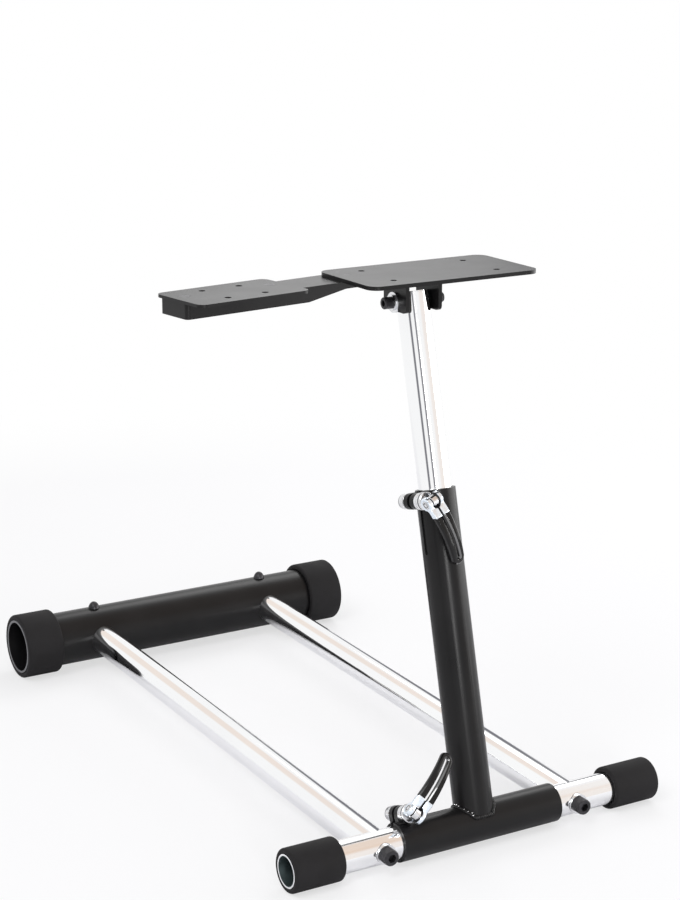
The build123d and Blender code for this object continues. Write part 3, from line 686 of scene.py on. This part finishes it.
def rubber_foot(node, tube):
    """Model a foot as a bored rubber sleeve with softly rounded rims."""
    middle = node_middle(node)
    size = half_size(node)
    outer = size.z
    bore = half_size(tube).z + FOOT_FIT
    deselect_all()
    bpy.ops.mesh.primitive_cylinder_add(
        vertices=FOOT_SIDES, radius=outer, depth=2 * size.x, location=middle, rotation=(0, pi / 2, 0)
    )
    foot = bpy.context.object
    bpy.ops.object.transform_apply(location=True, rotation=True, scale=True)

    def on_ring(radius):
        """Test for the edges of the two end rings of a radius."""
        def wanted(place, direction):
            reach = sqrt((place.y - middle.y) ** 2 + (place.z - middle.z) ** 2)
            return abs(direction.x) < ACROSS_AXIS and abs(reach - radius) < FOOT_RING_WITHIN
        return wanted

    open_piece(foot)
    pick_faces(foot, lambda place, normal: abs(normal.x) > ALONG_AXIS)
    bpy.ops.mesh.inset(thickness=outer - bore, use_individual=True)
    bpy.ops.mesh.bridge_edge_loops()
    pick_edges(foot, on_ring(outer))
    bpy.ops.mesh.bevel(offset=FOOT_ROUND, segments=FOOT_ROUND_STEPS)
    pick_edges(foot, on_ring(bore))
    bpy.ops.mesh.bevel(offset=FOOT_MOUTH_ROUND, segments=FOOT_MOUTH_STEPS)
    face_outwards()
    pick_alone(foot)
    bpy.ops.object.shade_smooth_by_angle(angle=FOOT_SMOOTH)
    settle(foot, "rubber_" + node, "foot_rubber", "base")
    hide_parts(node)


def whole_copy(node, name):
    """Copy a node and join its loose triangles into whole faces."""
    piece = bpy.data.objects.new(name, frame["nodes"][node].data.copy())
    bpy.context.scene.collection.objects.link(piece)
    open_piece(piece)
    bpy.ops.mesh.select_all(action="SELECT")
    bpy.ops.mesh.remove_doubles(threshold=DOUBLES_WITHIN)
    bpy.ops.mesh.dissolve_limited(angle_limit=FLAT_WITHIN)
    pick_alone(piece)
    return piece


def eased_copy(node, name, slot, body, width, steps):
    """Stand a copy of a node with rounded edges in its place."""
    piece = whole_copy(node, name)
    rounding = piece.modifiers.new("rounding", "BEVEL")
    rounding.width = width
    rounding.segments = steps
    rounding.limit_method = "ANGLE"
    rounding.angle_limit = ROUNDED_PAST
    rounding.use_clamp_overlap = True
    bpy.ops.object.modifier_apply(modifier=rounding.name)
    bpy.ops.object.shade_smooth_by_angle(angle=COPY_SMOOTH)
    settle(piece, name, slot, body)
    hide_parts(node)
    return piece


def lever_pieces(word, clamp):
    """Stand the cam fork and its loop in place, with painted shade in the fork's hollows and bright on the rails.
    """
    lever = clamp.body
    fork = eased_copy(
        lever + "_fork", word + "_cam_fork", "lever_chrome", lever, FORK_ROUND, FORK_ROUND_STEPS
    )

    def in_hollow(place, normal):
        """Test for the walls of the fork's gap and slit."""
        off = (place - clamp.barrel).dot(clamp.barrel_axis)
        inward = normal.dot(clamp.barrel_axis) * (-1 if off > 0 else 1)
        return abs(off) < FORK_GAP / 2 + HOLLOW_EDGE and inward > HOLLOW_FACING

    # Painted shade on the walls of the fork's gap and slit.
    second_finish(fork, FINISHES["painted_hollow_shade"], in_hollow)
    loop = eased_copy(
        lever + "_grip", word + "_dipped_loop", "dipped_grip", lever, GRIP_ROUND, GRIP_ROUND_STEPS
    )

    def on_slot_edge(place, normal):
        """Test for the rounded edges along the grip's slot."""
        off = abs((place - clamp.barrel).dot(clamp.barrel_axis))
        facing = abs(normal.dot(clamp.barrel_axis))
        return off < SLOT_EDGE and RAIL_FACING[0] < facing < RAIL_FACING[1]

    second_finish(loop, FINISHES["rail_gloss"], on_slot_edge)


def barrel_end(name, clamp, out):
    """Turn one stepped end of a cross barrel: a rim, a groove painted dark as shade and a middle button."""
    deselect_all()
    bpy.ops.mesh.primitive_cylinder_add(
        vertices=BARREL_SIDES, radius=BARREL_RADIUS, depth=2 * BARREL_PROUD
    )
    end = bpy.context.object
    open_piece(end)
    pick_faces(end, lambda place, normal: normal.z > ALONG_AXIS)
    bpy.ops.mesh.inset(thickness=RIM_EASE)
    bpy.ops.transform.translate(value=(0, 0, RIM_RISE))
    bpy.ops.mesh.inset(thickness=RIM_WIDTH)
    bpy.ops.mesh.extrude_region_move(TRANSFORM_OT_translate={"value": (0, 0, -GROOVE_DEPTH)})
    bpy.ops.mesh.inset(thickness=GROOVE_WIDTH)
    bpy.ops.mesh.extrude_region_move(TRANSFORM_OT_translate={"value": (0, 0, BUTTON_RISE)})
    pick_alone(end)
    bpy.ops.object.shade_smooth_by_angle(angle=BARREL_SMOOTH)
    stand_at(end, clamp.barrel + out * (BARREL_END + BARREL_PROUD / 2), out)
    settle(end, name, "bright_zinc", "mast")
    rim_level = BARREL_END + BARREL_PROUD * 1.5 + RIM_RISE

    def in_groove(place, normal):
        """Test for the groove between rim and button."""
        off = place - clamp.barrel
        rise = off.dot(out)
        away = (off - out * rise).length
        return rise < rim_level - GROOVE_BELOW and GROOVE_REACH[0] < away < GROOVE_REACH[1]

    # Painted shade in the groove.
    second_finish(end, FINISHES["painted_hollow_shade"], in_groove)


def round_nut(word, clamp):
    """Turn a clamp's round lock nut, with a bore and a chamfer painted dark as shade at its outer end."""
    deselect_all()
    bpy.ops.mesh.primitive_cylinder_add(vertices=NUT_SIDES, radius=NUT_RADIUS, depth=NUT_LENGTH)
    nut = bpy.context.object
    open_piece(nut)
    pick_edges(nut, lambda place, direction: place.z > NUT_LENGTH / 2 * ALONG_AXIS)
    bpy.ops.mesh.bevel(offset=NUT_CHAMFER, segments=NUT_CHAMFER_STEPS)
    for end, radius in ((-1, NUT_RADIUS), (1, NUT_RADIUS - NUT_CHAMFER)):
        pick_faces(nut, lambda place, normal: normal.z * end > ALONG_AXIS)
        bpy.ops.mesh.inset(thickness=radius - NUT_BORE)
    pick_faces(nut, lambda place, normal: abs(normal.z) > ALONG_AXIS and place.xy.length < NUT_BORE / 2)
    bpy.ops.mesh.bridge_edge_loops()
    face_outwards()
    pick_alone(nut)
    bpy.ops.object.shade_smooth_by_angle(angle=NUT_SMOOTH)
    stand_at(nut, clamp.middle - clamp.skewer * (WASHER_FACE + NUT_LENGTH / 2), -clamp.skewer)
    settle(nut, word + "_round_nut", "bright_zinc", "mast")

    def on_chamfer(place, normal):
        """Test for the chamfer round the nut's outer end."""
        return NUT_RIM_FACING[0] < -normal.dot(clamp.skewer) < NUT_RIM_FACING[1]

    # Painted shade on the chamfer.
    second_finish(nut, FINISHES["painted_hollow_shade"], on_chamfer)
    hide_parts(word + "_clamp_nut")


def resized_head(node, name, body, seat, beyond, share):
    """Stand a copy of a bolt in its place, with what lies beyond a test drawn to another size."""
    bolt = whole_copy(node, name)
    open_piece(bolt)
    pick_faces(bolt, lambda place, normal: beyond(place))
    bpy.ops.transform.resize(value=share, center_override=seat)
    pick_alone(bolt)
    bpy.ops.object.shade_smooth_by_angle(angle=COPY_SMOOTH)
    settle(bolt, name, "black_steel", body)
    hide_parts(node)


def mast_with_foot():
    """Trim the mast's coped foot square at the front and back, above the sleeve's middle."""
    mast = whole_copy("mast_tube", "trimmed_mast")
    open_piece(mast)
    bpy.ops.mesh.select_all(action="SELECT")
    bpy.ops.mesh.bisect(
        plane_co=MAST_FOOT + MAST_UP * MAST_CUT, plane_no=MAST_UP, use_fill=True, clear_inner=True
    )
    pick_alone(mast)
    bpy.ops.object.shade_smooth_by_angle(angle=COPY_SMOOTH)
    even = mast.modifiers.new("even", "WEIGHTED_NORMAL")
    even.keep_sharp = True
    bpy.ops.object.modifier_apply(modifier=even.name)
    settle(mast, "trimmed_mast", "black_coat", "mast")
    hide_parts("mast_tube")


def even_points(line, closed):
    """Space points evenly along a line, a whole number of ripples long."""
    if closed:
        line = line + line[:1]
    reach = [0.0]
    for first, second in zip(line, line[1:]):
        reach.append(reach[-1] + (second - first).length)
    count = RIPPLE_STEPS * max(1, round(reach[-1] / RIPPLE_LENGTH))
    points = []
    span = 0
    for step in range(count if closed else count + 1):
        along = reach[-1] * step / count
        while span < len(line) - 2 and reach[span + 1] < along:
            span += 1
        share = (along - reach[span]) / max(reach[span + 1] - reach[span], 1e-9)
        points.append(line[span].lerp(line[span + 1], min(share, 1.0)))
    return points


def weld_bead(name, lines, size, body, closed=False):
    """Lay rippled beads along lines of points, each ripple full at its front and thin behind."""
    deselect_all()
    curve = bpy.data.curves.new(name, "CURVE")
    curve.dimensions = "3D"
    curve.bevel_depth = size
    curve.bevel_resolution = 3
    curve.use_fill_caps = not closed
    for line in lines:
        places = even_points(line, closed)
        bead = curve.splines.new("POLY")
        bead.points.add(len(places) - 1)
        bead.use_cyclic_u = closed
        for step, (point, place) in enumerate(zip(bead.points, places)):
            behind = (step % RIPPLE_STEPS) / (RIPPLE_STEPS - 1)
            ripple = step // RIPPLE_STEPS
            sway = sum(depth * sin(pace * ripple) for depth, pace in RIPPLE_SWAYS)
            point.co = (*place, 1.0)
            point.radius = 1.0 - RIPPLE_DEPTH * behind**2 + sway
    piece = bpy.data.objects.new(name, curve)
    bpy.context.scene.collection.objects.link(piece)
    pick_alone(piece)
    bpy.ops.object.convert(target="MESH")
    piece = bpy.context.object
    bpy.ops.object.shade_smooth()
    settle(piece, name, "black_coat", body, FINISHES["weld_coat"])


def foot_point(turn, lift):
    """Give a point of the corner between the mast's foot and the sleeve, lifted off it along its slope."""
    front = MAST_RADIUS * sin(turn)
    rise = sqrt(max(0.0, SLEEVE_RADIUS**2 - front**2))
    sunk = max(0.0, MAST_CUT - rise) / MAST_CUT
    front *= 1.0 - MAST_WELD_DRAW * min(1.0, 2 * sunk)
    level = MAST_FOOT + ACROSS * (MAST_RADIUS * cos(turn)) + MAST_FACING * front
    corner = level + MAST_UP * max(rise, MAST_CUT)
    out = ACROSS * cos(turn) + MAST_FACING * (2 * sin(turn)) + MAST_UP * (rise / SLEEVE_RADIUS)
    return corner + out.normalized() * lift


def mast_foot_weld():
    """Lay the bead round the mast's foot."""
    turns = [2 * pi * step / MAST_WELD_STEPS for step in range(MAST_WELD_STEPS)]
    line = [foot_point(turn, MAST_WELD * MAST_WELD_LIFT) for turn in turns]
    weld_bead("mast_foot_weld", [line], MAST_WELD, "mast", closed=True)


def weld_specks():
    """Drop small bright beads of bare weld on the bead at the mast's foot."""
    deselect_all()
    bpy.ops.mesh.primitive_uv_sphere_add(segments=SPECK_SIDES, ring_count=SPECK_RINGS, radius=1)
    speck = bpy.context.object
    open_piece(speck)
    bpy.ops.mesh.select_all(action="SELECT")
    bpy.ops.transform.resize(value=SPECK_SHAPE)
    deselect_all()
    shape = speck.data
    copies = []
    for turn, lift, size in SPECKS:
        copy = bpy.data.objects.new("speck", shape.copy())
        bpy.context.scene.collection.objects.link(copy)
        copy.location = foot_point(radians(turn), MAST_WELD * SPECK_LIFT) + MAST_UP * lift
        copy.scale = (size, size, size)
        copies.append(copy)
    bpy.data.objects.remove(speck)
    for copy in copies:
        copy.select_set(True)
    bpy.context.view_layer.objects.active = copies[0]
    bpy.ops.object.join()
    bpy.ops.object.transform_apply(location=True, rotation=True, scale=True)
    bpy.ops.object.shade_smooth()
    settle(copies[0], "mast_weld_specks", "bright_zinc", "mast")


def lug_lines(clamp):
    """Follow each lug's foot on its tube: along one end, the outer face and the other end."""
    corners = (
        (LUG_HALF_LENGTH, LUG_INNER),
        (LUG_HALF_LENGTH, LUG_FACE),
        (-LUG_HALF_LENGTH, LUG_FACE),
        (-LUG_HALF_LENGTH, LUG_INNER),
    )
    lines = []
    for side in (-1, 1):
        line = []
        for (from_y, from_z), (to_y, to_z) in zip(corners, corners[1:]):
            for step in range(LUG_STEPS):
                y = from_y + (to_y - from_y) * step / LUG_STEPS
                z = from_z + (to_z - from_z) * step / LUG_STEPS
                on_tube = clamp.out * sqrt(clamp.tube_radius**2 - z**2) + clamp.skewer * (side * z)
                line.append(clamp.tube_axis + on_tube + clamp.along * y)
        lines.append(line)
    return lines


def tooth_at(place):
    """Number the knurl's edges round the ring."""
    return round(Vector((1, 0)).angle_signed(place.xy) / (pi / KNURL_TEETH))


def knurled_ring(name, seat, out, body):
    """Cut a straight knurl round a socket head: a bored ring whose every other edge stands proud."""
    deselect_all()
    length = KNURL_END - KNURL_START
    proud = 1 + KNURL_DEPTH / HEAD_RADIUS
    bpy.ops.mesh.primitive_cylinder_add(
        vertices=2 * KNURL_TEETH, radius=HEAD_RADIUS - KNURL_DEPTH / 4, depth=length
    )
    ring = bpy.context.object
    open_piece(ring)
    pick_edges(ring, lambda place, direction: abs(direction.z) > ALONG_AXIS and tooth_at(place) % 2 == 0)
    bpy.ops.transform.resize(value=(proud, proud, 1), center_override=(0, 0, 0))
    pick_faces(ring, lambda place, normal: abs(normal.z) > ALONG_AXIS)
    bpy.ops.mesh.inset(thickness=HEAD_RADIUS - KNURL_BORE, use_individual=True)
    bpy.ops.mesh.bridge_edge_loops()
    face_outwards()
    pick_alone(ring)
    stand_at(ring, seat + out * (KNURL_START + length / 2), out)
    settle(ring, name, "black_steel", body)


def pivot_head():
    """Draw the pivot bolt's head smaller, on its own seat."""
    seat = node_middle("pivot_bolt")
    seat.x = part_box("pivot_bolt")[0].x + HEAD_HEIGHT
    resized_head(
        "pivot_bolt",
        "small_head_pivot",
        "wheel_deck",
        seat,
        lambda place: place.x < seat.x - PIVOT_SEAT_PLAY,
        PIVOT_HEAD_SHARE,
    )


def far_dome(side):
    """Draw a far bolt's dome taller, from the top of the far tube."""
    tube_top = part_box("far_cross_tube")[1].z
    seat = node_middle("far_bolt_" + side)
    seat.z = tube_top
    resized_head(
        "far_bolt_" + side,
        "far_dome_" + side,
        "base",
        seat,
        lambda place: place.z > tube_top - DOME_SINK,
        DOME_SHARE,
    )


def near_knurl(side):
    """Knurl a near bolt's head."""
    bolt = "near_bolt_" + side
    seat = node_middle(bolt)
    seat.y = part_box(bolt)[0].y + HEAD_HEIGHT
    knurled_ring("near_knurl_" + side, seat, Vector((0, -1, 0)), "base")


for side in ("left", "right"):
    rubber_foot("near_foot_" + side, "near_cross_tube")
    rubber_foot("far_foot_" + side, "far_cross_tube")
for word, clamp in CLAMPS.items():
    lever_pieces(word, clamp)
    barrel_end(word + "_barrel_end_near", clamp, -clamp.barrel_axis)
    barrel_end(word + "_barrel_end_far", clamp, clamp.barrel_axis)
    round_nut(word, clamp)
    weld_bead(word + "_lug_welds", lug_lines(clamp), LUG_WELD, "mast")
mast_with_foot()
mast_foot_weld()
weld_specks()
near_knurl("left")
near_knurl("right")
pivot_head()
far_dome("left")
far_dome("right")


def studio_floor():
    """Lay a pale round floor that keeps a soft shadow and turns white away from the stand."""
    deselect_all()
    bpy.ops.mesh.primitive_circle_add(vertices=FLOOR_SIDES, radius=FLOOR_RADIUS, fill_type="NGON")
    floor = bpy.context.object
    floor.name = "studio_floor"
    material = bpy.data.materials.new("studio_floor")
    material.use_nodes = True
    material.node_tree.nodes.clear()
    tree = Tree(material.node_tree)
    output = tree.add("ShaderNodeOutputMaterial")
    mix = tree.add("ShaderNodeMixShader")
    matt = tree.add("ShaderNodeBsdfDiffuse")
    glow = tree.add("ShaderNodeEmission")
    path = tree.add("ShaderNodeLightPath")
    matt.inputs["Color"].default_value = FLOOR_COLOUR
    distance = tree.vector("LENGTH", tree.add("ShaderNodeTexCoord").outputs["Object"])
    whiteness = tree.fade(distance, *FLOOR_WHITE)
    near_glow = tree.math("MULTIPLY", FLOOR_NEAR_GLOW, path.outputs["Is Camera Ray"])
    share = tree.math("MAXIMUM", near_glow, whiteness)
    tree.link(tree.math("MULTIPLY", share, tree.looked_at(path)), mix.inputs["Fac"])
    tree.link(matt.outputs[0], mix.inputs[1])
    tree.link(glow.outputs[0], mix.inputs[2])
    tree.link(mix.outputs[0], output.inputs["Surface"])
    floor.data.materials.append(material)


def studio_sky():
    """Surround the stand with a white room, whose warm parts and dark uprights only mirrored rays see."""
    world = bpy.data.worlds.new("studio_sky")
    bpy.context.scene.world = world
    world.use_nodes = True
    tree = Tree(world.node_tree)
    background = world.node_tree.nodes["Background"]
    path = tree.add("ShaderNodeLightPath")
    towards = tree.add("ShaderNodeTexCoord").outputs["Generated"]
    parts = tree.add("ShaderNodeSeparateXYZ")
    tree.link(towards, parts.inputs[0])
    x, y, z = parts.outputs
    user_side = tree.fade(y, *USER_SIDE)
    wall = tree.product(WARM_WALL, user_side, tree.fade(x, *WALL_ACROSS), tree.fade(z, *WALL_TOP))
    ceiling = tree.product(
        WARM_CEILING,
        user_side,
        *(tree.fade(x, *edge) for edge in CEILING_ACROSS),
        tree.fade(z, *CEILING_RISE),
    )
    strip = tree.product(
        WARM_STRIP,
        tree.fade(y, *STRIP_DEPTH),
        tree.fade(z, *STRIP_RISE),
        *(tree.fade(x, *edge) for edge in STRIP_ACROSS),
    )
    warm = tree.math("ADD", wall, tree.math("ADD", ceiling, strip))
    colour = tree.blend(warm, ROOM_WHITE, ROOM_WARM)
    level = tree.vector("NORMALIZE", tree.vector("MULTIPLY", towards, (1.0, 1.0, 0.0)))
    below_top = tree.fade(z, *UPRIGHT_TOP)
    for way, half_width in UPRIGHTS:
        facing = tree.vector("DOT_PRODUCT", level, way)
        inside = tree.fade(facing, *(cos(half_width * side) for side in UPRIGHT_SIDES))
        colour = tree.blend(tree.product(inside, below_top), colour, ROOM_DARK)
    tree.link(tree.blend(path.outputs["Is Glossy Ray"], ROOM_WHITE, colour), background.inputs["Color"])
    extra_light = tree.math("MULTIPLY", tree.looked_at(path), 1.0 - SKY_LIGHT)
    tree.link(tree.math("ADD", SKY_LIGHT, extra_light), background.inputs["Strength"])


def softbox(name, place, target, width, height, watts):
    """Hang an oblong area lamp that faces a point."""
    data = bpy.data.lights.new(name, "AREA")
    data.shape = "RECTANGLE"
    data.size = width
    data.size_y = height
    data.energy = watts
    lamp = bpy.data.objects.new(name, data)
    bpy.context.scene.collection.objects.link(lamp)
    lamp.location = place
    lamp.rotation_mode = "QUATERNION"
    lamp.rotation_quaternion = (Vector(target) - Vector(place)).to_track_quat("-Z", "Y")


def photo_camera():
    """Stand the camera where the picture was taken."""
    data = bpy.data.cameras.new("photo_camera")
    data.lens = LENS_MM
    data.sensor_width = SENSOR_MM
    camera = bpy.data.objects.new("photo_camera", data)
    bpy.context.scene.collection.objects.link(camera)
    under_tube = node_middle("near_cross_tube")
    under_tube.z = 0.0
    camera.location = under_tube + LENS_FROM_NEAR_TUBE
    camera.rotation_mode = "QUATERNION"
    camera.rotation_quaternion = LENS_AIM.to_track_quat("-Z", "Y")
    bpy.context.scene.camera = camera


studio_floor()
studio_sky()
for name, settings in LAMPS.items():
    softbox(name, *settings)
photo_camera()
bpy.context.scene.view_settings.view_transform = "Standard"
